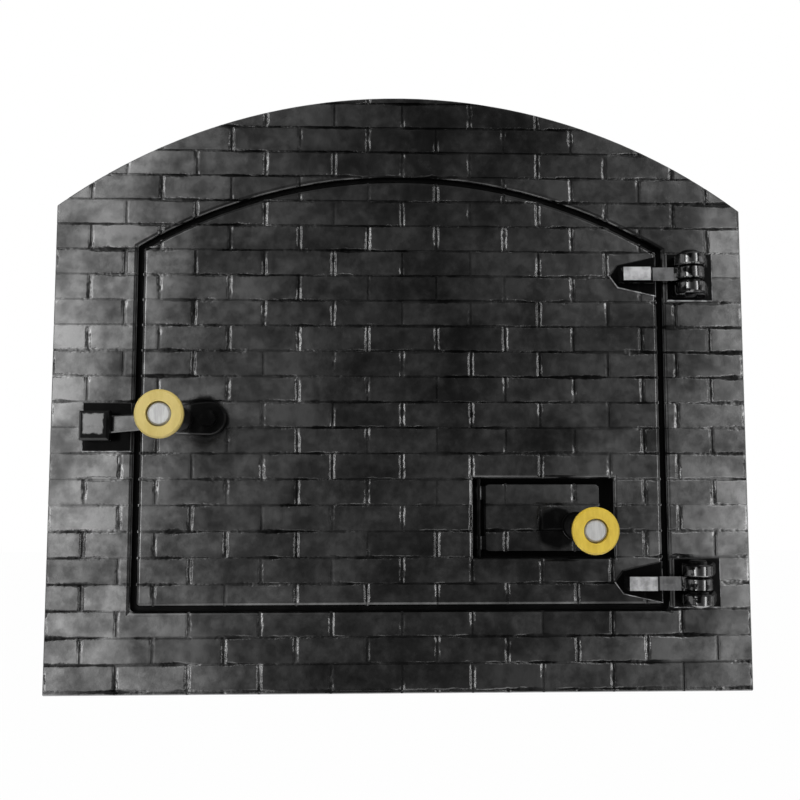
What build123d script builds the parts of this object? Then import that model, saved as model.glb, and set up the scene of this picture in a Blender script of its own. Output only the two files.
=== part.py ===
from build123d import *
from math import ceil, hypot, sqrt
import os

os.makedirs("parts", exist_ok=True)

# X runs to the right and Z up. Y runs into the wall: Y = 0 is the back of the frame plate,
# the face that bears on the brickwork, and everything in front of it has a negative Y.

# Brick pattern cast into the whole front
brick_length = 64.0
bricks_across = 10
bottom_course = 26.8
course_height = 23.6
joint_width = 2.0
joint_depth = 1.2

# Frame plate with its arched opening
plate_thickness = 7.0
jamb_width = 75.5
sill_joint = 3
springing_joint = 17
springing_step = 2.8
opening_rise = 68.3
shoulder_margin = 38.1
crown_margin = 76.5
opening_corner = 4.0
plate_corner = 1.5
edge_chamfer = 1.0
overrun = 1.0

# Collar that enters the oven mouth, and the ledge that stops the door
flange_width = 7.5
stop_width = 10.0
stop_thickness = 7.0
collar_wall = 6.0
collar_depth = 60.0

# Door leaf
leaf_gap = 5.0
leaf_thickness = 7.0
leaf_corner = 4.0
seat_gap = 0.5
rib_inset = 10.5
rib_width = 6.0
rib_depth = 10.0

# Hinges at the right, one pad on the frame and one strap on the door each
hinge_joints = (3, 15)
pad_courses = 2
pad_thickness = 2.0
pad_inset = 3.5
pad_width = 44.0
hinge_reach = 21.5
knuckle_radius = 12.5
knuckle_height = 12.5
knuckle_clear = 1.0
ear_height = 11.5
ear_overhang = 1.0
ear_chamfer = 1.8
ear_foot_inset = 2.0
pin_radius = 5.0
pin_tail = 2.0
pin_head_radius = 8.0
pin_head_height = 3.0
pin_head_chamfer = 1.2
pin_tail_chamfer = 1.0
hinge_washer_radius = 9.0
hinge_washer_thickness = 1.5
hinge_play = 0.3
strap_length = 72.0
strap_half_width = 19.0
strap_point_half_width = 11.0
strap_thickness = 1.6
strap_point = 8.0
strap_edge_inset = 1.0
arm_length = 63.5
arm_block_length = 27.0
arm_block_height = 15.0
arm_block_slope = 1.0
arm_block_draft = 2.0
arm_step = 3.0
arm_neck_height = 11.5
arm_neck_slope = 1.5
arm_neck_end = 2.0
arm_nose_lap = 3.0
arm_nose_drop = 2.0
arm_under = 3.5
arm_edge_inset = 2.5

# Latch lever at the left and its keeper on the frame
keeper_joint = 9
keeper_pad_inset = 1.5
keeper_pad_width = 45.0
latch_pivot_inset = 64.5
latch_pivot_rise = 7.8
lever_gap = 4.0
lever_thickness = 8.0
lever_reach = 103.5
lever_tip_top = 1.5
lever_tip_drop = 15.0
lever_root_half = 6.5
lever_chamfer = 1.2
pivot_eye_radius = 15.0
pivot_boss_radius = 14.0
handle_eye_radius = 13.0
handle_boss_radius = 11.5
handle_eye_height = 6.0
handle_offset = 26.0
handle_sink = 1.3
keeper_post = 8.0
keeper_lip_reach = 18.5
keeper_lip_thickness = 9.0
keeper_lip_top = 6.0
keeper_chamfer = 2.0
keeper_floor = 5.0
keeper_floor_inset = 3.0
keeper_play = 0.6
stop_play = 0.3

# Fasteners: M8 through the handles and the latch pivot, M6 at the anchors
m8_radius = 4.0
m8_flats = 13.0
m8_nut_height = 6.5
m8_head_height = 5.3
m8_washer_radius = 8.0
m8_washer_thickness = 1.6
spring_washer_radius = 7.2
spring_washer_thickness = 2.0
spring_washer_slot = 1.6
thread_tail = 3.0
m6_radius = 3.0
m6_flats = 10.0
m6_nut_height = 5.0
m6_head_radius = 7.0
m6_head_height = 3.3
m6_head_chamfer = 1.8
fit_gap = 0.05
running_gap = 0.08
drilled_gap = 0.3

# Turned wooden handles on steel sleeves, both alike
handle_length = 75.0
wood_length = 42.0
wood_front_radius = 20.0
wood_back_radius = 9.5
wood_waist_radius = 12.6
wood_rim_width = 5.0
wood_chamfer = 1.5
wood_recess_radius = 10.5
wood_recess_depth = 6.0
sleeve_radius = 7.0
sleeve_seat_radius = 10.5
sleeve_seat_height = 3.0
sleeve_foot_radius = 11.0
sleeve_foot_height = 5.0
handle_head_radius = 9.5
handle_head_height = 4.5
handle_head_chamfer = 1.5

# Draught vent in the door: opening, sunk flap, pan with its ledge behind the leaf
vent_brick_joint = 6
vent_bricks = 2
vent_joint = 5
vent_courses = 3
vent_sink = 7.0
flap_thickness = 5.0
flap_side_gap = 11.0
flap_end_gap = 5.0
flap_corner = 5.0
flap_rim_width = 4.0
flap_rim_height = 1.5
flap_boss_radius = 13.0
flap_boss_height = 2.0
flap_knuckle_overlap = 3.0
pan_wall = 5.0
ledge_width = 5.5
ledge_thickness = 4.0
vent_pin_radius = 2.5
vent_pin_inset = 6.0
vent_pin_depth = 2.8
vent_knuckle_radius = 4.0
vent_knuckle_length = 12.0
vent_handle_inset = 23.0
vent_handle_drop = 7.6

# Anchor straps that grip the back of the facing wall
wall_thickness = 75.0
anchor_width = 25.0
anchor_thickness = 3.0
anchor_bend = 3.0
anchor_overlap = 40.0
anchor_foot = 46.0
anchor_hole_radius = 3.5
anchor_hole_inset = 14.0
anchor_bolt_inset = 22.0
anchor_heights = (150.0, 330.0)


def joint_line(number):
    """Height of the middle of the joint above the numbered course, the lowest being 1."""
    return bottom_course + (number - 1) * course_height


# Worked-out places
front = -plate_thickness
plate_half = bricks_across * brick_length / 2
opening_half = plate_half - jamb_width
sill = joint_line(sill_joint) - joint_width / 2
springing = joint_line(springing_joint) + springing_step
plate_side = springing + shoulder_margin
plate_rise = springing + opening_rise + crown_margin - plate_side
plate_crown = plate_side + plate_rise
leaf_half = opening_half - leaf_gap
leaf_back = front + leaf_thickness
stop_face = leaf_back + seat_gap
collar_half = opening_half - stop_width + collar_wall
hinge_x = opening_half + hinge_reach
hinge_y = front - pad_thickness - knuckle_radius - knuckle_clear
pivot_x = latch_pivot_inset - leaf_half
pivot_z = joint_line(keeper_joint + pad_courses / 2) + latch_pivot_rise
handle_x = pivot_x - handle_offset
handle_z = pivot_z - handle_sink
lever_back = front - lever_gap
lever_front = lever_back - lever_thickness
keeper_post_x = pivot_x - hypot(lever_reach, lever_tip_drop) - stop_play
vent_left = brick_length * vent_brick_joint - plate_half + joint_width / 2
vent_right = vent_left + brick_length * vent_bricks + joint_width
vent_low = joint_line(vent_joint) - joint_width / 2
vent_high = joint_line(vent_joint + vent_courses) + joint_width / 2
vent_x = (vent_left + vent_right) / 2
vent_z = (vent_low + vent_high) / 2
flap_front = front + vent_sink
flap_back = flap_front + flap_thickness
flap_right = vent_right - flap_side_gap
flap_width = vent_right - vent_left - 2 * flap_side_gap
flap_height = vent_high - vent_low - 2 * flap_end_gap
ledge_face = flap_back + flap_rim_height + seat_gap
pan_back = ledge_face + ledge_thickness
vent_pin_x = vent_left + vent_pin_inset
vent_pin_y = flap_front + vent_pin_depth
vent_handle_x = flap_right - vent_handle_inset
vent_handle_z = vent_z - vent_handle_drop


def slab(face, y_front, y_back):
    """Solid of a face drawn as X, Z, from one depth to another."""
    return extrude(Plane.XZ.offset(-y_back) * face, y_back - y_front)


def layer(face, z_low, z_high):
    """Solid of a face drawn as X, Y, from one height to another."""
    return extrude(Plane.XY.offset(z_low) * face, z_high - z_low)


def rod_y(x, z, radius, y_front, y_back):
    """Round bar along Y."""
    return slab(Pos(x, z) * Circle(radius), y_front, y_back)


def rod_z(x, y, radius, z_low, z_high):
    """Round bar along Z."""
    return layer(Pos(x, y) * Circle(radius), z_low, z_high)


def ring_y(x, z, outer, inner, y_front, y_back):
    """Flat ring about an axis along Y."""
    return slab(Pos(x, z) * (Circle(outer) - Circle(inner)), y_front, y_back)


def hexagon(flats):
    """Hexagon by its width across flats."""
    return RegularPolygon(flats / 2, 6, major_radius=False)


def rectangle_between(x_low, x_high, z_low, z_high):
    """Rectangle by its corners."""
    middle = Pos((x_low + x_high) / 2, (z_low + z_high) / 2)
    return middle * Rectangle(x_high - x_low, z_high - z_low)


def arch(half, foot, side, rise, inset=0.0, corner=0.0):
    """Straight sides, a flat foot and a segmental arch, all drawn in by the inset."""
    radius = (half**2 + rise**2) / (2 * rise)
    centre = side + rise - radius
    width = half - inset
    shoulder = centre + sqrt((radius - inset) ** 2 - width**2)
    sides = Polyline((-width, shoulder), (-width, foot + inset), (width, foot + inset), (width, shoulder))
    top = ThreePointArc((width, shoulder), (0, centre + radius - inset), (-width, shoulder))
    face = make_face(sides + top)
    return fillet(face.vertices(), corner) if corner else face


def plate_outline():
    """Outline of the frame plate."""
    return arch(plate_half, 0, plate_side, plate_rise, corner=plate_corner)


def opening_outline(inset=0.0, corner=opening_corner):
    """Outline of the opening in the plate, or one parallel to it."""
    return arch(opening_half, sill, springing, opening_rise, inset, corner)


def vent_outline(grow=0.0):
    """Outline of the vent opening in the door, or one outside it."""
    return rectangle_between(vent_left - grow, vent_right + grow, vent_low - grow, vent_high + grow)


def course_bricks(number, low, high):
    """Front faces of the bricks of one course; every other course is shifted by half a brick."""
    shift = brick_length * (0.5 if number % 2 == 0 else 1.0)
    ends = [-plate_half - brick_length]
    ends += [shift - plate_half + brick_length * i for i in range(bricks_across - number % 2)]
    ends += [plate_half + brick_length]
    half_joint = joint_width / 2
    return [rectangle_between(a + half_joint, b - half_joint, low, high) for a, b in zip(ends, ends[1:])]


def all_bricks():
    """Front faces of all the bricks, from under the plate's foot to above its crown."""
    count = ceil((plate_crown - bottom_course) / course_height) + 1
    bricks = []
    for number in range(1, count + 1):
        low = joint_line(number - 1) + joint_width / 2 if number > 1 else -course_height
        bricks += course_bricks(number, low, joint_line(number) - joint_width / 2)
    return bricks


bricks = all_bricks()


def cut_joints(casting, outline, face_y):
    """Casting with the mortar joints sunk into its front face."""
    joints = outline - bricks
    return casting - slab(joints, face_y - overrun, face_y + joint_depth)


def front_chamfer(solid, size):
    """Solid with all the edges of its front face chamfered."""
    return chamfer(solid.faces().sort_by(Axis.Y)[0].edges(), size)


def hinge_stack(joint):
    """Heights in one hinge: lower ear, washer, door knuckle, upper ear."""
    middle = joint_line(joint + pad_courses / 2)
    parts_high = 2 * ear_height + hinge_washer_thickness + knuckle_height + 2 * hinge_play
    low = middle - parts_high / 2
    washer_low = low + ear_height
    knuckle_low = washer_low + hinge_washer_thickness + hinge_play
    ear_low = knuckle_low + knuckle_height + hinge_play
    return low, washer_low, knuckle_low, ear_low


def pad(joint, x_left, width):
    """Raised panel two courses high on the plate."""
    low = joint_line(joint) + joint_width / 2
    high = joint_line(joint + pad_courses) - joint_width / 2
    face = rectangle_between(x_left, x_left + width, low, high)
    raised = slab(face, front - pad_thickness, front + joint_depth + overrun)
    return front_chamfer(raised, pad_thickness / 2)


def hinge_ear(z_low):
    """One frame ear: a round nose that widens to a foot on the plate."""
    radius = knuckle_radius + ear_overhang
    nose = Pos(hinge_x, hinge_y) * Circle(radius)
    foot_y = front + plate_thickness / 2
    foot_right = opening_half + pad_inset + pad_width - ear_foot_inset
    foot = Line((hinge_x - radius, foot_y), (foot_right, foot_y))
    ear = layer(make_hull([*nose.edges(), foot]), z_low, z_low + ear_height)
    rims = ear.faces().sort_by(Axis.Z)[0].edges() + ear.faces().sort_by(Axis.Z)[-1].edges()
    nose_rims = [edge for edge in rims if edge.center().Y < front]
    return chamfer(nose_rims, ear_chamfer)


def frame_hinge(joint):
    """Pad and both ears of one hinge, without the pin's bore."""
    low, washer_low, knuckle_low, ear_low = hinge_stack(joint)
    base = pad(joint, opening_half + pad_inset, pad_width)
    return base + hinge_ear(low) + hinge_ear(ear_low)


def keeper():
    """Hook that the lever drops into: pad, post, front lip and the floor that stops the lever."""
    pad_right = -opening_half - keeper_pad_inset
    base = pad(keeper_joint, pad_right - keeper_pad_width, keeper_pad_width)
    lip_back = lever_front - keeper_play
    lip_front = lip_back - keeper_lip_thickness
    root = front + joint_depth + overrun
    post_left = keeper_post_x - keeper_post
    hook_plan = Polyline(
        (post_left, root),
        (post_left, lip_front),
        (keeper_post_x + keeper_lip_reach, lip_front),
        (keeper_post_x + keeper_lip_reach, lip_back),
        (keeper_post_x, lip_back),
        (keeper_post_x, root),
        (post_left, root),
    )
    floor_high = pivot_z - lever_tip_drop - stop_play
    floor_low = floor_high - keeper_floor
    hook = layer(make_face(hook_plan), floor_low, pivot_z + keeper_lip_top)
    hook = front_chamfer(hook, keeper_chamfer)
    floor_right = keeper_post_x + keeper_lip_reach - keeper_floor_inset
    floor_face = rectangle_between(post_left, floor_right, floor_low, floor_high)
    return base + hook + slab(floor_face, lip_back - overrun, root)


def collar():
    """Flange and door stop behind the plate, with the wall that enters the oven mouth."""
    flange = opening_outline(-flange_width, opening_corner) - opening_outline()
    stop = opening_outline() - opening_outline(stop_width, opening_corner)
    wall = opening_outline(stop_width - collar_wall, opening_corner)
    wall = wall - opening_outline(stop_width, opening_corner)
    stop_back = stop_face + stop_thickness
    ring = slab(flange, front + plate_thickness / 2, stop_back)
    return ring + slab(stop, stop_face, stop_back) + slab(wall, stop_face, collar_depth)


def make_frame():
    """Frame casting."""
    outline = plate_outline() - opening_outline()
    plate = front_chamfer(slab(outline, front, 0), edge_chamfer)
    casting = cut_joints(plate, outline, front) + collar() + keeper()
    for joint in hinge_joints:
        low, washer_low, knuckle_low, ear_low = hinge_stack(joint)
        casting += frame_hinge(joint)
        ear_high = ear_low + ear_height
        casting -= rod_z(hinge_x, hinge_y, pin_radius + fit_gap, low - overrun, ear_high + overrun)
    for side, height in anchor_places():
        hole = Cylinder(m6_radius + fit_gap, 3 * collar_wall, rotation=(0, 90, 0))
        casting -= Pos(side * collar_half, anchor_bolt_y(), height) * hole
    return casting


def strap(joint):
    """Hinge strap cast on the door: pointed base, raised block, neck and knuckle."""
    low, washer_low, knuckle_low, ear_low = hinge_stack(joint)
    middle = knuckle_low + knuckle_height / 2
    right = leaf_half - strap_edge_inset
    left = hinge_x - strap_length
    base_outline = Polyline(
        (left, middle),
        (left + strap_point, middle + strap_point_half_width),
        (right, middle + strap_half_width),
        (right, middle - strap_half_width),
        (left + strap_point, middle - strap_point_half_width),
        (left, middle),
    )
    root = front + joint_depth + overrun
    base = slab(make_face(base_outline), front - strap_thickness, root)
    base = front_chamfer(base, strap_thickness / 2)
    block_left = hinge_x - arm_length
    block_right = block_left + arm_block_length
    edge = leaf_half - arm_edge_inset
    nose = hinge_x - arm_nose_lap
    arm_outline = Polyline(
        (block_left, root),
        (block_left + arm_block_draft, front - arm_block_height + arm_block_slope),
        (block_right, front - arm_block_height),
        (block_right + arm_step, front - arm_neck_height),
        (hinge_x - knuckle_radius - arm_neck_end, front - arm_neck_height - arm_neck_slope),
        (nose, hinge_y - knuckle_radius + arm_nose_drop),
        (nose, front - arm_under),
        (edge, front - arm_under),
        (edge, root),
        (block_left, root),
    )
    knuckle_high = knuckle_low + knuckle_height
    arm = layer(make_face(arm_outline), knuckle_low, knuckle_high)
    knuckle = rod_z(hinge_x, hinge_y, knuckle_radius, knuckle_low, knuckle_high)
    rims = knuckle.edges().filter_by(GeomType.CIRCLE)
    knuckle = chamfer(rims, ear_chamfer)
    bore = rod_z(hinge_x, hinge_y, pin_radius + running_gap, knuckle_low - overrun, knuckle_high + overrun)
    return base + (arm + knuckle - bore)


def vent_pan():
    """Walls round the sunk vent behind the leaf, with the ledge that the flap closes on."""
    walls = slab(vent_outline(pan_wall) - vent_outline(), leaf_back - overrun, pan_back)
    window = rectangle_between(
        vent_left + flap_side_gap + ledge_width,
        flap_right - ledge_width,
        vent_low + flap_end_gap + ledge_width,
        vent_high - flap_end_gap - ledge_width,
    )
    return walls + slab(vent_outline() - window, ledge_face, pan_back)


def make_door_leaf():
    """Door casting."""
    outline = opening_outline(leaf_gap, leaf_corner) - vent_outline()
    leaf = front_chamfer(slab(outline, front, leaf_back), edge_chamfer)
    leaf = cut_joints(leaf, outline, front)
    rib = opening_outline(leaf_gap + rib_inset, leaf_corner)
    rib = rib - opening_outline(leaf_gap + rib_inset + rib_width, leaf_corner)
    casting = leaf + slab(rib, leaf_back - overrun, leaf_back + rib_depth) + vent_pan()
    for joint in hinge_joints:
        casting += strap(joint)
    boss_front = lever_back + stop_play
    casting += rod_y(pivot_x, pivot_z, pivot_boss_radius, boss_front, front + joint_depth + overrun)
    casting -= rod_y(pivot_x, pivot_z, m8_radius + fit_gap, boss_front - overrun, leaf_back + overrun)
    pin_low = vent_low - 2 * pan_wall
    pin_high = vent_high + 2 * pan_wall
    return casting - rod_z(vent_pin_x, vent_pin_y, vent_pin_radius + fit_gap, pin_low, pin_high)


def make_hinge_pin(joint):
    """Headed pin through both ears and the door's knuckle."""
    low, washer_low, knuckle_low, ear_low = hinge_stack(joint)
    ear_high = ear_low + ear_height
    shank = rod_z(hinge_x, hinge_y, pin_radius, low - pin_tail, ear_high + overrun)
    tail = shank.faces().sort_by(Axis.Z)[0].edges()
    shank = chamfer(tail, pin_tail_chamfer)
    head = rod_z(hinge_x, hinge_y, pin_head_radius, ear_high, ear_high + pin_head_height)
    rim = head.faces().sort_by(Axis.Z)[-1].edges()
    return shank + chamfer(rim, pin_head_chamfer)


def make_hinge_washer(joint):
    """Washer that carries the door on the lower ear."""
    low, washer_low, knuckle_low, ear_low = hinge_stack(joint)
    face = Pos(hinge_x, hinge_y) * (Circle(hinge_washer_radius) - Circle(pin_radius + fit_gap))
    return layer(face, washer_low, washer_low + hinge_washer_thickness)


def make_latch_lever():
    """Lever with its pivot eye, the raised eye for the handle and the flat tongue."""
    eyes = make_hull([
        *(Pos(pivot_x, pivot_z) * Circle(pivot_eye_radius)).edges(),
        *(Pos(handle_x, handle_z) * Circle(handle_eye_radius)).edges(),
    ])
    tip_x = pivot_x - lever_reach
    tongue = make_face(Polyline(
        (tip_x, pivot_z + lever_tip_top),
        (handle_x, handle_z + lever_root_half),
        (handle_x, handle_z - lever_root_half),
        (tip_x, pivot_z - lever_tip_drop),
        (tip_x, pivot_z + lever_tip_top),
    ))
    lever = slab(eyes + tongue, lever_front, lever_back)
    lever = front_chamfer(lever, lever_chamfer)
    boss_front = lever_front - handle_eye_height
    lever += rod_y(handle_x, handle_z, handle_boss_radius, boss_front, lever_back)
    lever -= rod_y(pivot_x, pivot_z, m8_radius + running_gap, lever_front - overrun, lever_back + overrun)
    tapped = rod_y(handle_x, handle_z, m8_radius + fit_gap, boss_front - overrun, lever_back + overrun)
    return lever - tapped


def pivot_head_back():
    """Back of the pivot bolt's head, clear of the lever by the play and the washer."""
    return lever_front - stop_play - m8_washer_thickness


def make_pivot_bolt():
    """Hexagon bolt through the lever and the leaf."""
    head_back = pivot_head_back()
    head = slab(Pos(pivot_x, pivot_z) * hexagon(m8_flats), head_back - m8_head_height, head_back)
    end = leaf_back + spring_washer_thickness + m8_nut_height + thread_tail
    return head + rod_y(pivot_x, pivot_z, m8_radius, head_back - overrun, end)


def make_pivot_washer():
    """Flat washer under the pivot bolt's head."""
    back = pivot_head_back() + m8_washer_thickness
    return ring_y(pivot_x, pivot_z, m8_washer_radius, m8_radius + fit_gap, back - m8_washer_thickness, back)


def make_spring_washer():
    """Split washer behind the leaf."""
    washer = ring_y(
        pivot_x, pivot_z, spring_washer_radius, m8_radius + fit_gap,
        leaf_back, leaf_back + spring_washer_thickness,
    )
    split = rectangle_between(
        pivot_x - spring_washer_slot / 2, pivot_x + spring_washer_slot / 2,
        pivot_z, pivot_z + 2 * spring_washer_radius,
    )
    return washer - slab(split, leaf_back - overrun, leaf_back + spring_washer_thickness + overrun)


def make_nut(x, z, y_front):
    """M8 nut with its front face at the given depth."""
    face = Pos(x, z) * (hexagon(m8_flats) - Circle(m8_radius + fit_gap))
    return slab(face, y_front, y_front + m8_nut_height)


def make_handle(x, z, root_y):
    """Turned wooden grip: wide front with a sunk middle, and a hollow taper back to the sleeve."""
    bore = m8_radius + drilled_gap
    front_y = root_y - handle_length
    back_y = front_y + wood_length
    rim_y = front_y + wood_rim_width
    recess_y = front_y + wood_recess_depth
    side = ThreePointArc(
        (wood_front_radius, rim_y),
        (wood_waist_radius, (rim_y + back_y) / 2),
        (wood_back_radius, back_y),
    )
    rest = Polyline(
        (wood_back_radius, back_y),
        (bore, back_y),
        (bore, recess_y),
        (wood_recess_radius, recess_y),
        (wood_recess_radius, front_y),
        (wood_front_radius - wood_chamfer, front_y),
        (wood_front_radius, front_y + wood_chamfer),
        (wood_front_radius, rim_y),
    )
    return Pos(x, 0, z) * revolve(make_face(side + rest), Axis.Y)


def make_handle_sleeve(x, z, root_y):
    """Steel sleeve between the casting and the wood, with a foot and a wider seat for the wood."""
    bore = m8_radius + drilled_gap
    seat_y = root_y - handle_length + wood_length
    half = Polyline(
        (bore, root_y),
        (sleeve_foot_radius, root_y),
        (sleeve_radius, root_y - sleeve_foot_height),
        (sleeve_radius, seat_y + 2 * sleeve_seat_height),
        (sleeve_seat_radius, seat_y + sleeve_seat_height),
        (sleeve_seat_radius, seat_y),
        (bore, seat_y),
        (bore, root_y),
    )
    return Pos(x, 0, z) * revolve(make_face(half), Axis.Y)


def make_handle_bolt(x, z, root_y, end_y):
    """Bolt with a plain round head in the recess of the handle."""
    seat = root_y - handle_length + wood_recess_depth
    head = rod_y(x, z, handle_head_radius, seat - handle_head_height, seat)
    head = front_chamfer(head, handle_head_chamfer)
    return head + rod_y(x, z, m8_radius, seat - overrun, end_y)


def make_vent_flap():
    """Flap with its rim, two knuckles and the boss for the handle."""
    middle = Pos(vent_x, vent_z)
    outline = middle * RectangleRounded(flap_width, flap_height, flap_corner)
    inner = Rectangle(flap_width - 2 * flap_rim_width, flap_height - 2 * flap_rim_width)
    flap = front_chamfer(slab(outline, flap_front, flap_back), edge_chamfer)
    flap = cut_joints(flap, outline, flap_front)
    flap += slab(outline - middle * inner, flap_back - overrun, flap_back + flap_rim_height)
    flap_left = vent_x - flap_width / 2
    arm = rectangle_between(vent_pin_x, flap_left + flap_knuckle_overlap, flap_front, flap_back)
    knuckle = arm + Pos(vent_pin_x, vent_pin_y) * Circle(vent_knuckle_radius)
    bore = vent_pin_radius + running_gap
    for end in (-1, 1):
        z_middle = vent_z + end * (flap_height / 2 - vent_knuckle_length / 2 - flap_corner / 2)
        z_low = z_middle - vent_knuckle_length / 2
        z_high = z_low + vent_knuckle_length
        flap += layer(knuckle, z_low, z_high)
        flap -= rod_z(vent_pin_x, vent_pin_y, bore, z_low - overrun, z_high + overrun)
    boss_front = flap_front - flap_boss_height
    flap += rod_y(vent_handle_x, vent_handle_z, flap_boss_radius, boss_front, flap_back)
    tapped_front = boss_front - overrun
    tapped = rod_y(vent_handle_x, vent_handle_z, m8_radius + fit_gap, tapped_front, flap_back + overrun)
    return flap - tapped


def make_vent_pin():
    """Plain pin held in the pan's lower and upper walls."""
    return rod_z(vent_pin_x, vent_pin_y, vent_pin_radius, vent_low - pan_wall, vent_high + pan_wall)


def anchor_places():
    """Side and height of each anchor strap."""
    return [(side, height) for side in (-1, 1) for height in anchor_heights]


def anchor_bolt_y():
    """Depth of the bolt that fixes an anchor strap to the collar."""
    return collar_depth - anchor_bolt_inset


def make_anchor(side, height):
    """Steel strip along the collar, bent outwards behind the wall, with a hole in its foot."""
    foot_front = wall_thickness
    path = FilletPolyline(
        (collar_half + anchor_thickness / 2, collar_depth - anchor_overlap),
        (collar_half + anchor_thickness / 2, foot_front + anchor_thickness / 2),
        (collar_half + anchor_foot, foot_front + anchor_thickness / 2),
        radius=anchor_bend + anchor_thickness / 2,
    )
    strip = layer(trace(path, anchor_thickness), height - anchor_width / 2, height + anchor_width / 2)
    hole_x = collar_half + anchor_foot - anchor_hole_inset
    foot_back = foot_front + anchor_thickness
    strip -= rod_y(hole_x, height, anchor_hole_radius, foot_front - overrun, foot_back + overrun)
    bolt_hole = Cylinder(m6_radius + fit_gap, 3 * anchor_thickness, rotation=(0, 90, 0))
    strip -= Pos(collar_half + anchor_thickness / 2, anchor_bolt_y(), height) * bolt_hole
    return strip if side > 0 else mirror(strip, Plane.YZ)


def make_anchor_bolt(side, height):
    """Round-headed bolt from inside the collar."""
    inside = collar_half - collar_wall
    length = collar_wall + anchor_thickness + m6_nut_height + thread_tail
    head = extrude(Plane.YZ.offset(inside - m6_head_height) * Circle(m6_head_radius), m6_head_height)
    head = chamfer(head.faces().sort_by(Axis.X)[0].edges(), m6_head_chamfer)
    shank = extrude(Plane.YZ.offset(inside - overrun) * Circle(m6_radius), length + overrun)
    bolt = Pos(0, anchor_bolt_y(), height) * (head + shank)
    return bolt if side > 0 else mirror(bolt, Plane.YZ)


def make_anchor_nut(side, height):
    """M6 nut outside the strap."""
    seat = collar_half + anchor_thickness
    face = hexagon(m6_flats) - Circle(m6_radius + fit_gap)
    nut = Pos(0, anchor_bolt_y(), height) * extrude(Plane.YZ.offset(seat) * face, m6_nut_height)
    return nut if side > 0 else mirror(nut, Plane.YZ)


latch_root = lever_front - handle_eye_height
vent_root = flap_front - flap_boss_height
vent_bolt_end = flap_back + m8_washer_thickness + m8_nut_height + thread_tail

nodes = {
    "frame": make_frame(),
    "door_leaf": make_door_leaf(),
    "latch_lever": make_latch_lever(),
    "latch_pivot_bolt": make_pivot_bolt(),
    "latch_pivot_washer": make_pivot_washer(),
    "latch_spring_washer": make_spring_washer(),
    "latch_pivot_nut": make_nut(pivot_x, pivot_z, leaf_back + spring_washer_thickness),
    "latch_handle": make_handle(handle_x, handle_z, latch_root),
    "latch_handle_sleeve": make_handle_sleeve(handle_x, handle_z, latch_root),
    "latch_handle_bolt": make_handle_bolt(handle_x, handle_z, latch_root, lever_back),
    "vent_flap": make_vent_flap(),
    "vent_hinge_pin": make_vent_pin(),
    "vent_handle": make_handle(vent_handle_x, vent_handle_z, vent_root),
    "vent_handle_sleeve": make_handle_sleeve(vent_handle_x, vent_handle_z, vent_root),
    "vent_handle_bolt": make_handle_bolt(vent_handle_x, vent_handle_z, vent_root, vent_bolt_end),
    "vent_handle_washer": ring_y(
        vent_handle_x, vent_handle_z, m8_washer_radius, m8_radius + fit_gap,
        flap_back, flap_back + m8_washer_thickness,
    ),
    "vent_handle_nut": make_nut(vent_handle_x, vent_handle_z, flap_back + m8_washer_thickness),
}
for name, joint in zip(("bottom", "top"), hinge_joints):
    nodes["hinge_pin_" + name] = make_hinge_pin(joint)
    nodes["hinge_washer_" + name] = make_hinge_washer(joint)
for number, (side, height) in enumerate(anchor_places(), 1):
    nodes[f"anchor_strap_{number}"] = make_anchor(side, height)
    nodes[f"anchor_bolt_{number}"] = make_anchor_bolt(side, height)
    nodes[f"anchor_nut_{number}"] = make_anchor_nut(side, height)

for name, shape in nodes.items():
    export_step(shape, f"parts/{name}.step")
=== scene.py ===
import math
import bpy
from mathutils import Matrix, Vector

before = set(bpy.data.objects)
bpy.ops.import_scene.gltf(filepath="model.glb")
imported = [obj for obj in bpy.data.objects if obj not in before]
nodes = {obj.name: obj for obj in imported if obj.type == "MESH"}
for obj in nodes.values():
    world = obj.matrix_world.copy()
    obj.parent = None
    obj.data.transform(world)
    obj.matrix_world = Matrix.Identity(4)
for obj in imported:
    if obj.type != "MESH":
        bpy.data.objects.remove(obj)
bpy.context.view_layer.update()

# Brick pattern of the castings, in metres
BRICK = 0.064
COURSE = 0.0236
BOTTOM_COURSE = 0.0268
PLATE_HALF = 0.32

# Where the fronts of the pieces lie, in metres
FACE_Y = -0.007
FLAP_Y = 0.0
LATCH_HANDLE_Y = -0.1
VENT_HANDLE_Y = -0.077

# Outlines of the castings: half width, foot, and centre height and radius of the arch, in metres
LEAF_OUTLINE = (0.2395, 0.078, 0.0037, 0.4668)
OPENING_OUTLINE = (0.2445, 0.073, 0.0037, 0.4718)

# Upright rectangles on the front: left, right, low and high edge, in metres
VENT_OPENING = (0.065, 0.195, 0.1202, 0.193)
# The part of the keeper's front that its painted shade leaves lit
KEEPER_UNSHADED = (-0.2845, -0.266, 0.2325, 0.2505)

# Places across the front, in metres
ARM_END = 0.252
# Where the painted shade on the lever's end behind its handle begins
LEVER_SHADE = (-0.196, -0.190)
# Where the painted shade along the flap's hinged edge fades out
FLAP_HINGE_SHADE = (0.0775, 0.0785)
# Middles of the painted shadows beside the latch and vent handles, and their inner and outer radius
LATCH_SHADOW = (-0.181, 0.249)
VENT_SHADOW = (0.144, 0.147)
SHADOW_RADIUS = (0.0195, 0.0265)
# Width of the soft edge of the painted shade on the keeper
KEEPER_SHADE_RIM = (0.0008, 0.0026)
# Width of the soft edge of the painted shade in the vent's recess
RECESS_SHADE_RIM = (-0.0006, 0.0)

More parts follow.
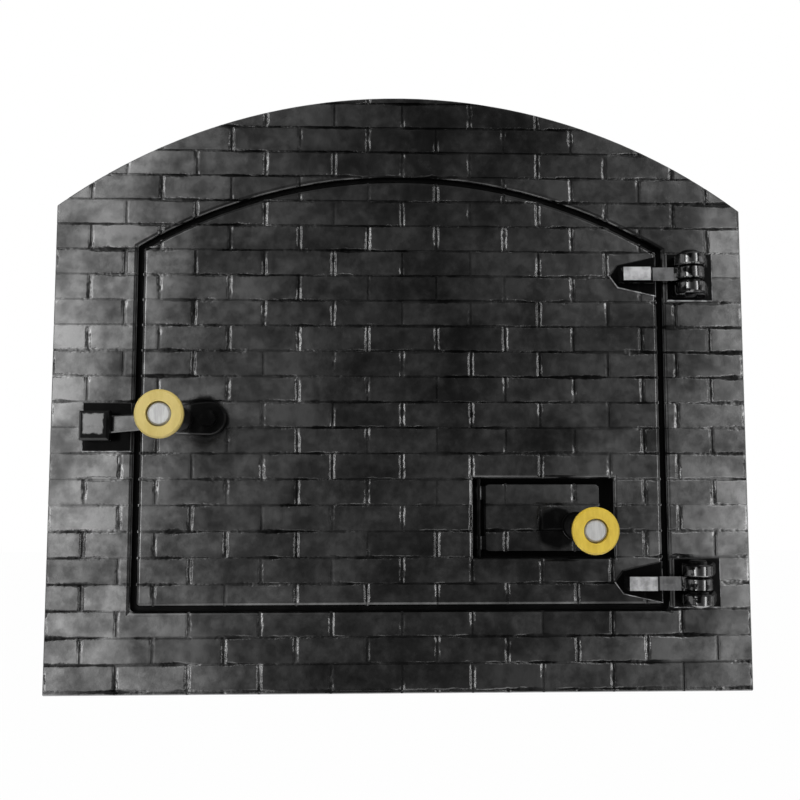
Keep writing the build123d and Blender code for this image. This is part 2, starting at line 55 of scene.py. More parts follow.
# Heights off a casting's face, in metres; a pair gives the ends of a soft change
FACE_REACH = 0.0014
PAD_FROM = (0.0010, 0.0014)
RAISED_FROM = (0.0026, 0.0036)
BEHIND_UNTIL = (-0.0030, -0.0016)
PAD_EDGE = (0.0004, 0.0022)
ARM_NECK = (0.0112, 0.0136)
ARM_BLOCK = (0.0134, 0.0160)
KEEPER_HEIGHT = 0.004
BAND_RISE = 0.0004
BAND_FALL = 0.0002

# Directions that a surface faces, as parts of its normal; a pair gives the ends of a soft change
TURNED = (-0.99, -0.97)
RIDGE_FRONT = (-0.95, -0.8)
BACK = (0.2, 0.6)
PAD_SIDE = (0.3, 0.5)

# Camera: where the photograph was taken from, in front of the plate
CAMERA_AT = Vector((-0.0278, FACE_Y - 0.8269, 0.1977))
CAMERA_TO = Vector((-0.0019, FACE_Y, 0.2648))
CAMERA_LENS = 40.5
SENSOR = 36.0

# Floor of the room, with the door at the height at which it sits in an oven
FLOOR_Z = -0.9
FLOOR_HALF = 12.0
FLOOR_COLOR = (0.9, 0.9, 0.9, 1.0)
FLOOR_WHITE = 0.985
FLOOR_ROUGHNESS = 0.9

# World: its colour and its strength as light
WHITE = (1.0, 1.0, 1.0, 1.0)
SKY_LIGHT = 0.4

# Lamps: place, target, width, height and power
KEY = ((-0.3, -1.95, 1.6), (0, 0, 0.25), 1.2, 1.2, 40.0)
LEFT_WALL = ((-2.4, -0.7, 0.4), (0, -0.7, 0.4), 1.6, 2.4, 30.0)
RIGHT_WALL = ((2.4, -0.7, 0.4), (0, -0.7, 0.4), 1.6, 2.4, 30.0)
LOW_CARD = ((0, -0.5, FLOOR_Z + 0.02), (0, -0.5, 1), 3.0, 1.6, 90.0)

# Reflection cards in front of the plate: inner edge and radiance, each running out to the outer edge
CARD_Y = -1.5
CARD_STEP = 0.02
CARD_OUTER = 1.5
CARD_HEIGHT = 2.4
CARD_Z = 0.4
LEFT_CARDS = ((0.16, 1.0), (0.42, 1.5), (0.56, 3.0), (0.68, 4.0), (0.77, 7.0), (1.1, 22.0))
RIGHT_CARDS = ((0.42, 0.5), (0.55, 0.7), (0.78, 1.3), (0.84, 1.8), (0.90, 3.0), (1.15, 26.0))

# Noises in patches: scale, detail and roughness, and the noise values at which a patch begins and is full
CLOUDS = ((14.0, 7.0, 0.66), (0.34, 0.66))
WEAR = ((19.0, 4.0, 0.65), (0.44, 0.64))
FILLING = ((9.0, 4.0, 0.65), (0.44, 0.60))
BLOTCHES = ((150.0, 3.0, 0.6), (0.46, 0.54))
STAINS = ((60.0, 4.0, 0.6), (0.4, 0.7))

# Noises: scale, detail and roughness, and factors along x, y and z for one that is drawn out
SPOTS = (95.0, 5.0, 0.6)
GRAIN = (650.0, 3.0, 0.6)
WAVES = (22.0, 2.0, 0.5)
WOBBLE = (120.0, 5.0, 0.7)
BROAD_WOBBLE = (21.0, 4.0, 0.6)
# Noise for the ragged edge of the painted shadows beside the handles
SHADOW_EDGE = (150.0, 4.0, 0.6)
# Noise for the ragged edge of the painted shade on the keeper
KEEPER_SHADE_EDGE = (170.0, 4.0, 0.55)
WOOD_GRAIN = (60.0, 5.0, 0.6, (1.0, 0.15, 0.3))
WOOD_FINE = (420.0, 3.0, 0.6, (1.0, 0.1, 0.3))
SCRATCHES = (400.0, 3.0, 0.6, (1.0, 0.12, 1.0))
TURNING_MARKS = (500.0, 3.0, 0.6, (1.0, 1.0, 0.15))

# Values of a noise between which it changes something
SPOTS_GLOSS = (0.3, 0.7)
SPOTS_PALE = (0.5, 0.8)
# Noise values that break up the painted highlights on the hinge arms and the pads
SPOTS_RIDGE = (0.3, 0.65)
SPOTS_PAD = (0.4, 0.6)
STREAKS_DEEP = (0.35, 0.66)
MARKS_DARK = (0.35, 0.65)

# Heights and widths that the noises reach, in metres
WAVE_HEIGHT = 0.00018
SPOT_HEIGHT = 0.000028
GRAIN_HEIGHT = 0.00002
WOBBLE_WIDTH = 0.0030
BROAD_WIDTH = 0.0072
# Raggedness of the soot on the wood and of the painted shadows beside the handles
SOOT_AND_SHADOW_WIDTH = 0.006
# Raggedness of the painted shade on the keeper's edges
KEEPER_SHADE_WIDTH = 0.004

# Joints between bricks: how far from the joint's middle its edges and its floor reach, in metres
ROUND_X = (0.0008, 0.0032)
ROUND_Z = (0.0006, 0.0020)
JOINT_X = (0.0004, 0.0013)
JOINT_Z = (0.0005, 0.0017)
UPRIGHT_JOINT = 0.8
EDGE_WEAR = (0.06, 1.5)
EDGE_DROP = 0.0006
RIM_WIDTH = 0.0035
RIM_DROP = 0.0009
OFF_FACE_RELIEF = (0.15, 1.0)
LEAN = 0.04

# Gloss of the painted iron: its specular level, and shares of it; a pair gives the least and the most
SPECULAR = 0.31
CLOUD_GLOSS = (0.3, 0.95)
SPOT_GLOSS = (0.75, 1.15)
BRICK_GLOSS = (0.75, 1.25)
JOINT_DULL = 0.92
JOINT_FILLED = (0.3, 1.0)
# Gloss taken off the pads round the hinges and keeper: painted shade
PAD_SHADE = 0.98
RAISED_GLOSS = 0.75
BLOTCH_GLOSS = (0.03, 1.3)
# Gloss left behind the face: nearly none in gaps and recesses as painted shade, more on the back under its
# soot
BEHIND_GLOSS = (0.05, 0.5)
# Gloss left where painted shade and painted shadows lie, and on the matt black steel
SHADE_AND_SOOT_GLOSS = 0.02

# Roughness of the painted iron and what is added to it
ROUGHNESS = 0.12
SPOT_ROUGH = 0.12
BEHIND_ROUGH = 0.35
RAISED_SMOOTH = 0.05
# Roughness added where painted shade and painted shadows lie, and on the matt black steel
SHADE_AND_SOOT_ROUGH = 0.2

# How strong the painted highlights are on the hinge arms and the pads
NECK_HIGHLIGHT = 0.25
RIDGE_HIGHLIGHT = (0.45, 1.0)
PAD_HIGHLIGHT = (0.1, 0.8)

# Colours of the painted iron
BLACK = (0.0, 0.0, 0.0)
PURE = (1.0, 1.0, 1.0)
# Grey of the painted highlights on the hinge arms and the pads' lower and outer edges
HIGHLIGHT_GREY = (0.46, 0.46, 0.47)
IRON_DARK = (0.0012, 0.0012, 0.0012)
IRON_PALE = (0.005, 0.005, 0.005)
SOOT_DARK = (0.018, 0.0175, 0.017)
SOOT_PALE = (0.045, 0.043, 0.041)

# Wood: pale and deep colour of each handle, and colour, start and length of the soot behind
LATCH_WOOD = ((0.52, 0.41, 0.135), (0.44, 0.34, 0.095))
VENT_WOOD = ((0.66, 0.485, 0.062), (0.52, 0.36, 0.036))
WOOD_SOOT = (0.007, 0.005, 0.004)
WOOD_SOOT_FROM = 0.007
WOOD_SOOT_LENGTH = 0.01
WOOD_ROUGHNESS = (0.4, 0.9)
WOOD_SPECULAR = 0.08
WOOD_BUMP = 0.35
GRAIN_DEPTH = 0.0003
GRAIN_SHARE = 0.7

# Steel: colour and roughness of two kinds, then how stains, scratches and zinc look
PLATED = ((0.4, 0.4, 0.41), 0.35)
STRAP = ((0.16, 0.15, 0.145), 0.5)
STAINED = 0.55
SCRATCH_ROUGH = 0.2
SCRATCH_DEPTH = 0.0001
STEEL_BUMP = 0.4
ZINC = (0.40, 0.40, 0.395)
ZINC_DARK = (0.30, 0.30, 0.295)
ZINC_ROUGHNESS = 0.5
ZINC_SPECULAR = 0.2

# Bevels of the castings in metres, and the least angle in degrees of an edge that gets one
CASTING_BEVEL = 0.0004
LEVER_BEVEL = 0.0008
BEVEL_ANGLE = 35
WELD = 1e-6

CASTINGS = ["frame", "door_leaf", "vent_flap", "latch_lever"]
HANDLES = ["latch_handle", "latch_handle_bolt", "vent_handle", "vent_handle_bolt"]
BLACK_STEEL = [
    "hinge_pin_top", "hinge_pin_bottom", "hinge_washer_top", "hinge_washer_bottom",
    "latch_pivot_bolt", "latch_pivot_washer", "latch_handle_sleeve", "vent_handle_sleeve", "vent_hinge_pin",
]


class Shader:
    """Short way to build a node material."""

    def __init__(self, name):
        self.material = bpy.data.materials.new(name)
        self.material.use_nodes = True
        self.tree = self.material.node_tree
        self.tree.nodes.clear()
        self.output = self.node("ShaderNodeOutputMaterial")
        self.bsdf = self.node("ShaderNodeBsdfPrincipled")
        self.link(self.bsdf.outputs["BSDF"], self.output.inputs["Surface"])
        coordinates = self.node("ShaderNodeTexCoord")
        self.place = coordinates.outputs["Object"]
        self.x, self.y, self.z = self.split(self.place)
        self.facing_x, self.facing_y, self.facing_z = self.split(coordinates.outputs["Normal"])

    def node(self, kind, **settings):
        made = self.tree.nodes.new(kind)
        for key, value in settings.items():
            setattr(made, key, value)
        return made

    def link(self, source, target):
        self.tree.links.new(source, target)

    def feed(self, target, value):
        if hasattr(value, "is_linked"):
            self.link(value, target)
        else:
            target.default_value = value

    def split(self, vector):
        made = self.node("ShaderNodeSeparateXYZ")
        self.link(vector, made.inputs[0])
        return made.outputs

    def math(self, operation, first, second=0.0):
        made = self.node("ShaderNodeMath", operation=operation)
        self.feed(made.inputs[0], first)
        self.feed(made.inputs[1], second)
        return made.outputs[0]

    def plus(self, first, second):
        return self.math("ADD", first, second)

    def minus(self, first, second):
        return self.math("SUBTRACT", first, second)

    def times(self, first, second):
        return self.math("MULTIPLY", first, second)

    def squeezed(self, factors):
        made = self.node("ShaderNodeMapping")
        self.link(self.place, made.inputs["Vector"])
        made.inputs["Scale"].default_value = factors
        return made.outputs["Vector"]

    def noise(self, scale, detail, roughness, factors=None):
        made = self.node("ShaderNodeTexNoise")
        self.link(self.squeezed(factors) if factors else self.place, made.inputs["Vector"])
        made.inputs["Scale"].default_value = scale
        made.inputs["Detail"].default_value = detail
        made.inputs["Roughness"].default_value = roughness
        return made.outputs["Fac"]

    def spread(self, value, width):
        """A value from 0 to 1, moved to lie evenly around 0 over a width."""
        return self.times(self.minus(value, 0.5), width)

    def ramp(self, value, low, high, first=0.0, last=1.0):
        made = self.node("ShaderNodeMapRange", interpolation_type="SMOOTHSTEP")
        for socket, given in zip(made.inputs, (value, low, high, first, last)):
            self.feed(socket, given)
        return made.outputs[0]

    def patches(self, pattern, first=0.0, last=1.0):
        """A noise in soft-edged patches, running from a first to a last value."""
        texture, ends = pattern
        return self.ramp(self.noise(*texture), *ends, first, last)

    def mix_value(self, factor, first, second):
        made = self.node("ShaderNodeMix", data_type="FLOAT")
        for socket, value in zip((made.inputs[0], made.inputs[2], made.inputs[3]), (factor, first, second)):
            self.feed(socket, value)
        return made.outputs[0]

    def mix(self, factor, first, second):
        made = self.node("ShaderNodeMix", data_type="RGBA")
        self.feed(made.inputs["Factor"], factor)
        for socket, value in ((made.inputs[6], first), (made.inputs[7], second)):
            self.feed(socket, (*value, 1.0) if isinstance(value, tuple) else value)
        return made.outputs[2]

    def bump(self, height, distance, strength=1.0):
        made = self.node("ShaderNodeBump")
        made.inputs["Strength"].default_value = strength
        made.inputs["Distance"].default_value = distance
        self.feed(made.inputs["Height"], height)
        return made.outputs["Normal"]

    def dress(self, color, roughness, normal, specular=None):
        """Sets colour, roughness, bump and specular level of the surface."""
        self.link(color, self.bsdf.inputs["Base Color"])
        self.feed(self.bsdf.inputs["Roughness"], roughness)
        self.link(normal, self.bsdf.inputs["Normal"])
        if specular is not None:
            self.bsdf.inputs["Specular IOR Level"].default_value = specular


def inside_outline(shader, outline):
    """Distance in from an arched outline, in metres; negative outside it."""
    half, foot, centre, radius = outline
    side = shader.minus(half, shader.math("ABSOLUTE", shader.x))
    low = shader.minus(shader.z, foot)
    above = shader.math("MAXIMUM", shader.minus(shader.z, centre), 0.0)
    reach = shader.plus(shader.math("POWER", shader.x, 2.0), shader.math("POWER", above, 2.0))
    crown = shader.minus(radius, shader.math("SQRT", reach))
    return shader.math("MINIMUM", shader.math("MINIMUM", side, low), crown)


def inside_leaf(shader):
    """Distance in from the edge of the door leaf, in metres."""
    return inside_outline(shader, LEAF_OUTLINE)


def outside_opening(shader):
    """Distance out from the opening that the door closes, in metres."""
    return shader.times(inside_outline(shader, OPENING_OUTLINE), -1.0)


def beyond(shader, value, low, high):
    """How far a value lies past the nearer of two limits; negative between them."""
    away = shader.math("ABSOLUTE", shader.minus(value, (low + high) / 2))
    return shader.minus(away, (high - low) / 2)


def outside_box(shader, box):
    """Distance out from an upright rectangle, in metres; negative inside it."""
    left, right, low, high = box
    return shader.math("MAXIMUM", beyond(shader, shader.x, left, right), beyond(shader, shader.z, low, high))


def outside_vent(shader):
    """Distance out from the vent's recess, in metres."""
    return outside_box(shader, VENT_OPENING)


def keeper_painted_shade(shader):
    """Painted shade on the edges of the keeper's front, outside the part that is left lit."""
    uneven = shader.times(shader.noise(*KEEPER_SHADE_EDGE), KEEPER_SHADE_WIDTH)
    away = shader.plus(outside_box(shader, KEEPER_UNSHADED), uneven)
    beside = shader.math("LESS_THAN", shader.x, -OPENING_OUTLINE[0])
    in_front = shader.math("LESS_THAN", shader.y, FACE_Y - KEEPER_HEIGHT)
    return shader.times(shader.ramp(away, *KEEPER_SHADE_RIM), shader.times(beside, in_front))


def painted_shadow_patch(shader, place):
    """A round painted shadow on the paint beside a handle."""
    beside = shader.math("POWER", shader.minus(shader.x, place[0]), 2.0)
    above = shader.math("POWER", shader.minus(shader.z, place[1]), 2.0)
    away = shader.math("SQRT", shader.plus(beside, above))
    away = shader.plus(away, shader.times(shader.noise(*SHADOW_EDGE), SOOT_AND_SHADOW_WIDTH))
    return shader.ramp(away, *SHADOW_RADIUS, 1.0, 0.0)


def leaf_painted_shade(shader):
    """Painted shade over the whole of the vent's recess, and the painted shadow beside the latch handle."""
    recess = shader.ramp(outside_vent(shader), *RECESS_SHADE_RIM, 1.0, 0.0)
    return shader.math("MAXIMUM", recess, painted_shadow_patch(shader, LATCH_SHADOW))


def flap_painted_shade(shader):
    """Painted shade along the hinged edge of the vent flap, and the painted shadow beside its handle."""
    hinge = shader.ramp(shader.x, *FLAP_HINGE_SHADE, 1.0, 0.0)
    return shader.math("MAXIMUM", hinge, painted_shadow_patch(shader, VENT_SHADOW))


def lever_end_painted_shade(shader):
    """Painted shade on the end of the latch lever behind its handle."""
    return shader.ramp(shader.x, *LEVER_SHADE)


def everywhere(shader):
    """The whole of a piece."""
    return 1.0


class Iron(Shader):
    """Black paint over cast iron, whose gloss, roughness, height and colour are changed step by step."""

    def __init__(self, name):
        super().__init__(name)
        self.spots = self.noise(*SPOTS)
        self.gloss = self.patches(CLOUDS, *CLOUD_GLOSS)
        self.dim(self.ramp(self.spots, *SPOTS_GLOSS, *SPOT_GLOSS))
        self.roughness = self.plus(ROUGHNESS, self.times(self.spots, SPOT_ROUGH))
        self.height = self.times(self.noise(*WAVES), WAVE_HEIGHT)
        self.lift(self.times(self.spots, SPOT_HEIGHT))
        self.lift(self.times(self.noise(*GRAIN), GRAIN_HEIGHT))
        self.pale = self.ramp(self.spots, *SPOTS_PALE)

    def dim(self, share):
        self.gloss = self.times(self.gloss, share)

    def dull(self, where, share):
        """Takes a share of the gloss away, where the first value is 1."""
        self.dim(self.minus(1.0, self.times(where, share)))

    def roughen(self, where, amount):
        self.roughness = self.plus(self.roughness, self.times(where, amount))

    def lift(self, amount):
        self.height = self.plus(self.height, amount)

    def place_bricks(self):
        """Which brick a point is in, with random numbers for it, and the place inside it from -0.5 to 0.5."""
        courses = self.math("DIVIDE", self.minus(self.z, BOTTOM_COURSE), COURSE)
        course = self.math("FLOOR", courses)
        shifted = self.minus(1.0, self.math("PINGPONG", course, 1.0))
        bricks = self.math("DIVIDE", self.plus(self.x, PLATE_HALF), BRICK)
        bricks = self.plus(bricks, self.times(shifted, 0.5))
        key = self.node("ShaderNodeCombineXYZ")
        self.link(course, key.inputs["X"])
        self.link(self.math("FLOOR", bricks), key.inputs["Y"])
        random = self.node("ShaderNodeTexWhiteNoise", noise_dimensions="3D")
        self.link(key.outputs[0], random.inputs["Vector"])
        channels = self.node("ShaderNodeSeparateColor")
        self.link(random.outputs["Color"], channels.inputs[0])
        self.random = channels.outputs
        self.inside_x = self.minus(self.math("FRACT", bricks), 0.5)
        self.inside_z = self.minus(self.math("FRACT", courses), 0.5)

    def from_joint(self, inside, length, wobble):
        """Distance from the middle of the nearest joint along one direction, in metres."""
        away = self.minus(0.5, self.math("ABSOLUTE", inside))
        return self.plus(self.times(away, length), wobble)

    def tilt_bricks(self):
        """Leans each brick by a random angle of its own."""
        lean_x = self.times(self.spread(self.random[0], BRICK * LEAN), self.inside_x)
        lean_z = self.times(self.spread(self.random[1], COURSE * LEAN), self.inside_z)
        self.lift(self.plus(lean_x, lean_z))

    def round_bricks(self):
        """Rounds the edges of the bricks unevenly, and keeps how deep in a joint each point is."""
        wobble = self.spread(self.noise(*WOBBLE), WOBBLE_WIDTH)
        broad = self.spread(self.noise(*BROAD_WOBBLE), BROAD_WIDTH)
        away_x = self.from_joint(self.inside_x, BRICK, wobble)
        away_z = self.from_joint(self.inside_z, COURSE, self.plus(wobble, broad))
        low = self.plus(0.5, self.times(self.ramp(away_z, *ROUND_Z), 0.5))
        edge = self.times(self.ramp(away_x, *ROUND_X), low)
        fallen = self.times(self.minus(edge, 1.0), self.patches(WEAR, *EDGE_WEAR))
        self.lift(self.times(fallen, EDGE_DROP))
        joint_x = self.times(self.ramp(away_x, *JOINT_X, 1.0, 0.0), UPRIGHT_JOINT)
        self.joint = self.math("MAXIMUM", joint_x, self.ramp(away_z, *JOINT_Z, 1.0, 0.0))

    def round_rims(self, rims):
        """Rounds the face off at its outlines."""
        for rim in rims:
            self.lift(self.times(self.ramp(rim(self), 0.0, RIM_WIDTH), RIM_DROP))

    def find_parts(self, face_y):
        """Which points are on the face, on a pad's edge, on a raised part, behind the face or on the back."""
        self.off_face = self.minus(face_y, self.y)
        self.face = self.math("LESS_THAN", self.math("ABSOLUTE", self.off_face), FACE_REACH)
        self.raised = self.ramp(self.off_face, *RAISED_FROM)
        self.turned = self.ramp(self.facing_y, *TURNED)
        low = self.times(self.ramp(self.off_face, *PAD_FROM), self.minus(1.0, self.raised))
        self.pad = self.times(low, self.minus(1.0, self.turned))
        self.behind = self.ramp(self.off_face, *BEHIND_UNTIL, 1.0, 0.0)
        self.back = self.ramp(self.facing_y, *BACK)

    def gloss_bricks(self):
        """Dull joints, pads darkened as painted shade round the hinges and keeper, a gloss of its own for
        every brick, and mottled raised parts.
        """
        filled = self.patches(FILLING, *JOINT_FILLED)
        self.dull(self.times(self.times(self.joint, self.face), filled), JOINT_DULL)
        self.dim(self.mix_value(self.random[2], *BRICK_GLOSS))
        # Painted shade: the pads lose nearly all their gloss
        self.dull(self.pad, PAD_SHADE)
        mottled = self.mix_value(self.turned, RAISED_GLOSS, self.patches(BLOTCHES, *BLOTCH_GLOSS))
        self.gloss = self.mix_value(self.raised, self.gloss, mottled)

    def shade_and_soot_behind(self):
        """Behind the face: painted shade that takes nearly all gloss in gaps and recesses, matt soot with
        more gloss left on the back; and little relief off the face.
        """
        # Painted shade in the gaps and recesses, soot on the back
        kept = self.mix_value(self.back, *BEHIND_GLOSS)
        self.dim(self.mix_value(self.behind, 1.0, kept))
        self.roughen(self.behind, BEHIND_ROUGH)
        self.roughen(self.raised, -RAISED_SMOOTH)
        self.height = self.times(self.height, self.ramp(self.face, 0.0, 1.0, *OFF_FACE_RELIEF))

    def band(self, low, high, amount=1.0):
        """An amount between two heights off the face, with narrow soft ends."""
        rising = self.ramp(self.off_face, low, low + BAND_RISE)
        return self.times(rising, self.ramp(self.off_face, high - BAND_FALL, high, amount, 0.0))

    def ridge_painted_highlight(self):
        """Painted highlight as grey paint on the raised block of a hinge arm, and a little on its neck."""
        amount = self.plus(self.band(*ARM_BLOCK), self.band(*ARM_NECK, NECK_HIGHLIGHT))
        amount = self.times(amount, self.math("LESS_THAN", self.x, ARM_END))
        amount = self.times(amount, self.ramp(self.facing_y, *RIDGE_FRONT, 1.0, 0.0))
        return self.times(amount, self.ramp(self.spots, *SPOTS_RIDGE, *RIDGE_HIGHLIGHT))

    def pad_edge_painted_highlight(self):
        """Painted highlight as grey paint on the lower and outer edges of the pads."""
        outward = self.times(self.facing_x, self.math("SIGN", self.x))
        downward = self.times(self.facing_z, -1.0)
        edge = self.ramp(self.math("MAXIMUM", outward, downward), *PAD_SIDE)
        edge = self.times(edge, self.band(*PAD_EDGE))
        return self.times(edge, self.ramp(self.spots, *SPOTS_PAD, *PAD_HIGHLIGHT))

    def color_bricks(self):
        """Black paint in front, black in the gaps behind and soot on the back, and painted highlights as grey
        on the hinge arms and the pads' edges.
        """
        # The pads get no pale spots, part of their painted shade
        pale = self.times(self.pale, self.minus(1.0, self.pad))
        front = self.mix(pale, IRON_DARK, IRON_PALE)
        # Behind the face: black in the gaps as painted shade, soot colour on the back
        shade_and_soot = self.mix(self.back, IRON_DARK, self.mix(pale, SOOT_DARK, SOOT_PALE))
        # Painted highlights: grey on the hinge arms' blocks and the pads' lower and outer edges
        highlit = self.math("MAXIMUM", self.ridge_painted_highlight(), self.pad_edge_painted_highlight())
        self.color = self.mix(highlit, self.mix(self.behind, front, shade_and_soot), HIGHLIGHT_GREY)

    def brick_face(self, face_y, rims):
        """Bricks on the face at face_y; each rim gives a distance over which it rounds off at an outline."""
        self.place_bricks()
        self.find_parts(face_y)
        self.tilt_bricks()
        self.round_bricks()
        self.round_rims(rims)
        self.gloss_bricks()
        self.shade_and_soot_behind()
        self.color_bricks()

    def soot(self, place):
        """Takes away gloss and adds roughness where the place is 1: painted shade and painted shadows on the
        castings, an even matt finish on the black steel.
        """
        where = place(self)
        self.dim(self.mix_value(where, 1.0, SHADE_AND_SOOT_GLOSS))
        self.roughen(where, SHADE_AND_SOOT_ROUGH)

    def finished(self):
        """The material, once all its steps are done."""
        self.dress(self.color, self.roughness, self.bump(self.height, 1.0), SPECULAR)
        tint = self.mix(self.math("MINIMUM", self.gloss, 1.0), BLACK, PURE)
        self.link(tint, self.bsdf.inputs["Specular Tint"])
        return self.material


def plain_iron(name, shade_and_soot):
    """Painted iron without bricks, dulled where a mask says: painted shade on the lever's end, all over on
    the black steel.
    """
    iron = Iron(name)
    iron.color = iron.mix(iron.pale, IRON_DARK, IRON_PALE)
    iron.soot(shade_and_soot)
    return iron.finished()


def brick_iron(name, face_y, rims, shade_and_soot):
    """Painted casting with the brick pattern, with painted shade and painted shadows where a mask says."""
    iron = Iron(name)
    iron.brick_face(face_y, rims)
    iron.soot(shade_and_soot)
    return iron.finished()


def steel_material(name, color, roughness):
    """Dull steel with fine scratches and stains."""
    shader = Shader(name)
    scratches = shader.noise(*SCRATCHES)
    stained = tuple(part * STAINED for part in color)
    tint = shader.mix(shader.patches(STAINS), color, stained)
    rough = shader.plus(roughness, shader.times(scratches, SCRATCH_ROUGH))
    shader.dress(tint, rough, shader.bump(scratches, SCRATCH_DEPTH, STEEL_BUMP))
    shader.bsdf.inputs["Metallic"].default_value = 1.0
    return shader.material


def bolt_material(name):
    """Zinc-grey bolt head, matt with faint turning marks."""
    shader = Shader(name)
    marks = shader.noise(*TURNING_MARKS)
    color = shader.mix(shader.ramp(marks, *MARKS_DARK), ZINC, ZINC_DARK)
    shader.dress(color, ZINC_ROUGHNESS, shader.bump(marks, SCRATCH_DEPTH, STEEL_BUMP), ZINC_SPECULAR)
    return shader.material


def wood_material(name, front_y, pale, deep):
    """Turned light wood under yellow varnish, blackened by soot towards the back."""
    shader = Shader(name)
    grain = shader.noise(*WOOD_GRAIN)
    fine = shader.noise(*WOOD_FINE)
    streaks = shader.plus(shader.times(grain, GRAIN_SHARE), shader.times(fine, 1.0 - GRAIN_SHARE))
    color = shader.mix(shader.ramp(streaks, *STREAKS_DEEP), pale, deep)
    back = shader.plus(shader.y, shader.times(grain, SOOT_AND_SHADOW_WIDTH))
    soot_from = front_y + WOOD_SOOT_FROM
    soot = shader.ramp(back, soot_from, soot_from + WOOD_SOOT_LENGTH)
    color = shader.mix(soot, color, WOOD_SOOT)
    rough = shader.ramp(soot, 0.0, 1.0, *WOOD_ROUGHNESS)
    shader.dress(color, rough, shader.bump(streaks, GRAIN_DEPTH, WOOD_BUMP), WOOD_SPECULAR)
    return shader.material


def paint(node, material):
    """Gives a node its material and material slot."""
    target = nodes[node]
    target.data.materials.clear()
    target.data.materials.append(material)


def soften(node, width):
    """Rounds the sharp edges of a carried-over node."""
    target = nodes[node]
    weld = target.modifiers.new("weld", "WELD")
    weld.merge_threshold = WELD
    bevel = target.modifiers.new("bevel", "BEVEL")
    bevel.width = width
    bevel.segments = 2
    bevel.limit_method = "ANGLE"
    bevel.angle_limit = math.radians(BEVEL_ANGLE)
    bevel.use_clamp_overlap = True
    bevel.harden_normals = False


def turned_to(source, target):
    """Rotation that makes a camera or a lamp look from one point to another."""
    return (Vector(target) - Vector(source)).to_track_quat("-Z", "Y").to_euler()


def make_camera():
    """Camera at the photographer's place."""
    data = bpy.data.cameras.new("camera")
    data.lens = CAMERA_LENS
    data.sensor_width = SENSOR
    camera = bpy.data.objects.new("camera", data)
    camera.location = CAMERA_AT
    camera.rotation_euler = turned_to(CAMERA_AT, CAMERA_TO)
    bpy.context.scene.collection.objects.link(camera)
    bpy.context.scene.camera = camera


def softbox(name, place, target, width, height, power, diffuse=False):
    """Soft lamp, for reflections alone or for diffuse light alone."""
    data = bpy.data.lights.new(name, "AREA")
    data.shape = "RECTANGLE"
    data.size = width
    data.size_y = height
    data.energy = power
    lamp = bpy.data.objects.new(name, data)
    lamp.location = place
    lamp.rotation_euler = turned_to(place, target)
    lamp.visible_diffuse = diffuse
    lamp.visible_glossy = not diffuse
    lamp.visible_camera = False
    bpy.context.scene.collection.objects.link(lamp)


def reflection_cards(side, cards):
    """Upright glowing cards on one side, one behind the other, seen only in reflections."""
    for number, (inner, radiance) in enumerate(cards):
        width = CARD_OUTER - inner
        power = radiance * math.pi * width * CARD_HEIGHT
        place = Vector((side * (inner + CARD_OUTER) / 2, CARD_Y - CARD_STEP * number, CARD_Z))
        ahead = place + Vector((0.0, 1.0, 0.0))
        softbox(f"card_{side}_{number}", place, ahead, width, CARD_HEIGHT, power)


def seen_directly(tree):
    """Socket that is 1 for rays from the camera, mirrors and glass, and 0 for light."""
    path = tree.nodes.new("ShaderNodeLightPath")
    result = path.outputs["Is Camera Ray"]
    for other in ("Is Glossy Ray", "Is Transmission Ray"):
        either = tree.nodes.new("ShaderNodeMath")
        either.operation = "MAXIMUM"
        tree.links.new(result, either.inputs[0])
        tree.links.new(path.outputs[other], either.inputs[1])
        result = either.outputs[0]
    return result


def background(tree, strength):
    """White background of one strength."""
    made = tree.nodes.new("ShaderNodeBackground")
    made.inputs["Color"].default_value = WHITE
    made.inputs["Strength"].default_value = strength
    return made.outputs[0]


def make_world():
    """White where the camera or a reflection sees it, a softer white as light."""
    world = bpy.data.worlds.new("studio")
    bpy.context.scene.world = world
    world.use_nodes = True
    tree = world.node_tree
    tree.nodes.clear()
    output = tree.nodes.new("ShaderNodeOutputWorld")
    mix = tree.nodes.new("ShaderNodeMixShader")
    tree.links.new(seen_directly(tree), mix.inputs["Fac"])
    tree.links.new(background(tree, SKY_LIGHT), mix.inputs[1])
    tree.links.new(background(tree, 1.0), mix.inputs[2])
    tree.links.new(mix.outputs[0], output.inputs["Surface"])


def floor_material():
    """White floor that keeps a soft shadow."""
    shader = Shader("floor")
    shader.bsdf.inputs["Base Color"].default_value = FLOOR_COLOR
    shader.bsdf.inputs["Roughness"].default_value = FLOOR_ROUGHNESS
    shader.bsdf.inputs["Specular IOR Level"].default_value = 0.0
    glow = shader.node("ShaderNodeEmission")
    mix = shader.node("ShaderNodeMixShader")
    shader.link(shader.times(seen_directly(shader.tree), FLOOR_WHITE), mix.inputs["Fac"])
    shader.link(shader.bsdf.outputs["BSDF"], mix.inputs[1])
    shader.link(glow.outputs[0], mix.inputs[2])
    shader.link(mix.outputs[0], shader.output.inputs["Surface"])
    return shader.material


def make_floor():
    """Floor of the room, below the door at its working height."""
    mesh = bpy.data.meshes.new("floor")
    corners = [(-1, -1), (1, -1), (1, 1), (-1, 1)]
    corners = [(FLOOR_HALF * x, FLOOR_HALF * y, 0) for x, y in corners]
    mesh.from_pydata(corners, [], [(0, 1, 2, 3)])
    floor = bpy.data.objects.new("floor", mesh)
    floor.location.z = FLOOR_Z
    bpy.context.scene.collection.objects.link(floor)
    floor.data.materials.append(floor_material())


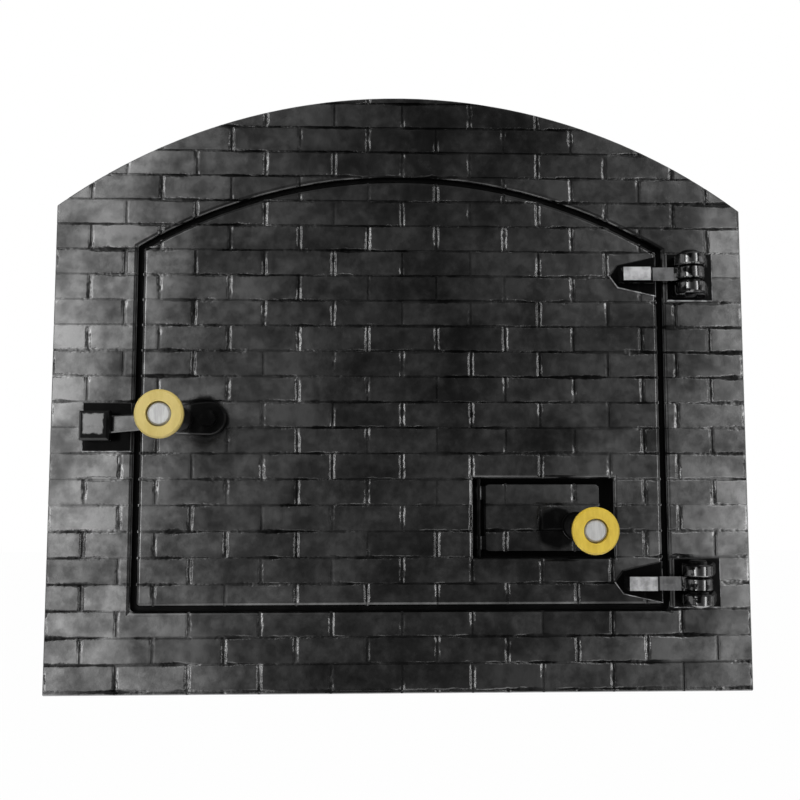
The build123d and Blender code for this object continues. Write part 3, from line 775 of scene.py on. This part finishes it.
def make_lamps():
    """One lamp for diffuse light, and cards and walls for the paint to mirror."""
    softbox("key", *KEY, diffuse=True)
    reflection_cards(-1, LEFT_CARDS)
    reflection_cards(1, RIGHT_CARDS)
    softbox("left_wall", *LEFT_WALL)
    softbox("right_wall", *RIGHT_WALL)
    softbox("low_card", *LOW_CARD)


def paint_castings():
    """Painted iron with its bricks, rubbed-down brick edges, painted highlights, painted shade and soot, and
    small bevels.
    """
    # Each casting gets painted shade and painted shadows from its mask: at the keeper, in the vent's recess,
    # along the flap's hinge and beside the handles
    frame_iron = brick_iron("painted_iron_frame", FACE_Y, (outside_opening,), keeper_painted_shade)
    leaf_iron = brick_iron("painted_iron_leaf", FACE_Y, (inside_leaf, outside_vent), leaf_painted_shade)
    flap_iron = brick_iron("painted_iron_flap", FLAP_Y, (), flap_painted_shade)
    for node, iron in (("frame", frame_iron), ("door_leaf", leaf_iron), ("vent_flap", flap_iron)):
        paint(node, iron)
        soften(node, CASTING_BEVEL)
    # The lever's mask puts painted shade on its end behind the handle
    paint("latch_lever", plain_iron("painted_iron_lever", lever_end_painted_shade))
    soften("latch_lever", LEVER_BEVEL)


def paint_handles():
    """Yellow wood, each handle in its own shade, with grey bolts."""
    bolt = bolt_material("zinc_bolt")
    for side, front_y, shades in (("latch", LATCH_HANDLE_Y, LATCH_WOOD), ("vent", VENT_HANDLE_Y, VENT_WOOD)):
        paint(f"{side}_handle", wood_material(f"{side}_wood", front_y, *shades))
        paint(f"{side}_handle_bolt", bolt)


def paint_steel():
    """Sooty black, dark and plated steel for all the other pieces."""
    black = plain_iron("sooty_iron", everywhere)
    plated = steel_material("plated_steel", *PLATED)
    strap = steel_material("strap_steel", *STRAP)
    for node in nodes:
        if node in BLACK_STEEL:
            paint(node, black)
        elif node.startswith("anchor_strap"):
            paint(node, strap)
        elif node not in CASTINGS + HANDLES:
            paint(node, plated)


make_camera()
make_world()
make_floor()
make_lamps()
paint_castings()
paint_handles()
paint_steel()

bpy.context.scene.view_settings.view_transform = "Standard"
